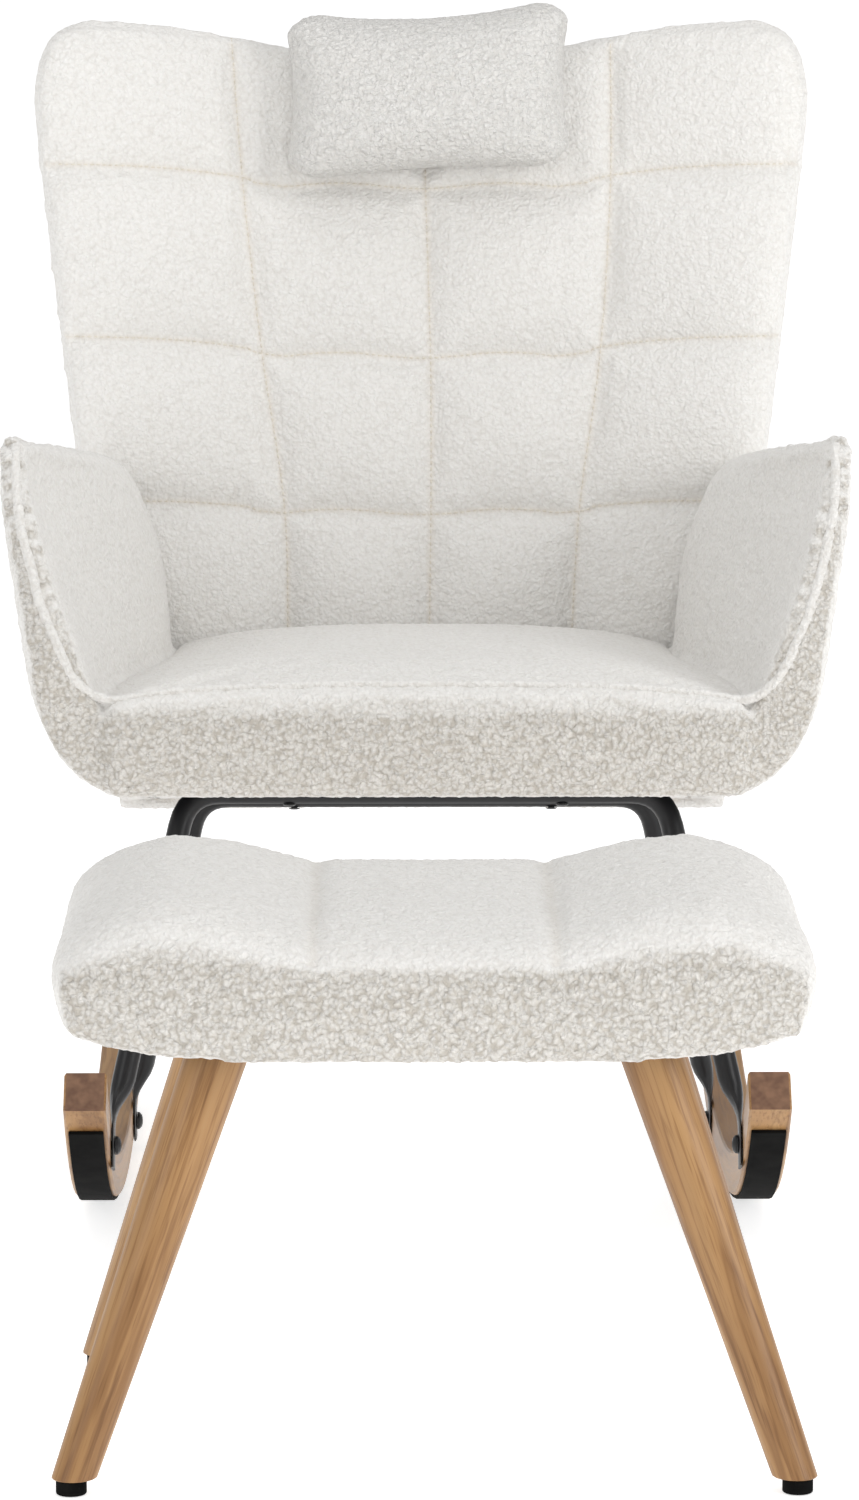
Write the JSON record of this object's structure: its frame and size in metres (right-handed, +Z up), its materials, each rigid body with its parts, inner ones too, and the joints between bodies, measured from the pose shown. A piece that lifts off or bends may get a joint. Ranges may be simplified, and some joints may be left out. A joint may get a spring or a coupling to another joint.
{
  "type": "rocking chair with footstool",
  "caption": "Wing-back rocking chair in boucle fabric on steel legs and curved wooden rockers, with a head pillow and a matching footstool.",
  "frame": {"origin": "on the floor, under the centre of the whole set's bounding box", "axes": "+Z up; +Y from the footstool to the chair's back, so the chair faces -Y; +X across, the plane of symmetry is X = 0"},
  "size_m": [0.6926, 1.428, 1.001],
  "materials": {
    "teddy_fabric": "matte",
    "oak": "satin",
    "plywood": "matte",
    "black_steel": "satin",
    "black_rubber": "matte",
    "black_cloth": "matte"
  },
  "bodies": {
    "stool": {"stool_leg_front_left": "oak", "stool_leg_plate_front_left": "black_steel", "stool_stud_front_left": "black_steel", "stool_glide_front_left": "black_rubber", "stool_leg_rear_left": "oak", "stool_leg_plate_rear_left": "black_steel", "stool_stud_rear_left": "black_steel", "stool_glide_rear_left": "black_rubber", "stool_leg_front_right": "oak", "stool_leg_plate_front_right": "black_steel", "stool_stud_front_right": "black_steel", "stool_glide_front_right": "black_rubber", "stool_leg_rear_right": "oak", "stool_leg_plate_rear_right": "black_steel", "stool_stud_rear_right": "black_steel", "stool_glide_rear_right": "black_rubber", "stool_board": "plywood", "stool_dust_cover": "black_cloth", "stool_cushion": "teddy_fabric"},
    "chair": {"rocker_left": "oak", "rocker_strip_left": "black_rubber", "rocker_bolt_front_left": "black_steel", "rocker_bolt_rear_left": "black_steel", "rocker_right": "oak", "rocker_strip_right": "black_rubber", "rocker_bolt_front_right": "black_steel", "rocker_bolt_rear_right": "black_steel", "front_leg_frame": "black_steel", "rear_leg_frame": "black_steel", "seat_bolt_front_left": "black_steel", "seat_bolt_rear_left": "black_steel", "seat_bolt_front_right": "black_steel", "seat_bolt_rear_right": "black_steel", "seat_frame": "plywood", "seat_dust_cover": "black_cloth", "seat_spring_1": "black_steel", "seat_spring_2": "black_steel", "seat_spring_3": "black_steel", "seat_spring_4": "black_steel", "back_cushion": "teddy_fabric", "back_cover": "teddy_fabric", "back_post_left": "plywood", "back_post_right": "plywood", "back_bottom_rail": "plywood", "back_middle_rail": "plywood", "back_top_rail": "plywood", "back_webbing_1": "black_cloth", "back_webbing_2": "black_cloth", "back_webbing_3": "black_cloth", "arm_left": "teddy_fabric", "arm_panel_left": "plywood", "arm_right": "teddy_fabric", "arm_panel_right": "plywood", "seat_cushion": "teddy_fabric", "seat_front_cover": "teddy_fabric", "pillow_strap": "black_cloth"},
    "pillow": {"head_pillow": "teddy_fabric", "pillow_patch": "black_cloth"}
  },
  "joints": [
    {"name": "rock", "type": "hinge", "parent": "stool", "child": "chair", "pos_m": [0, 0.32605, 1.1], "axis": [1, 0, 0], "range_deg": [-10, 10]},
    {"name": "pillow_height", "type": "slide", "parent": "chair", "child": "pillow", "axis": [0, -0.2723, -0.9622], "range_m": [0, 0.06]}
  ]
}
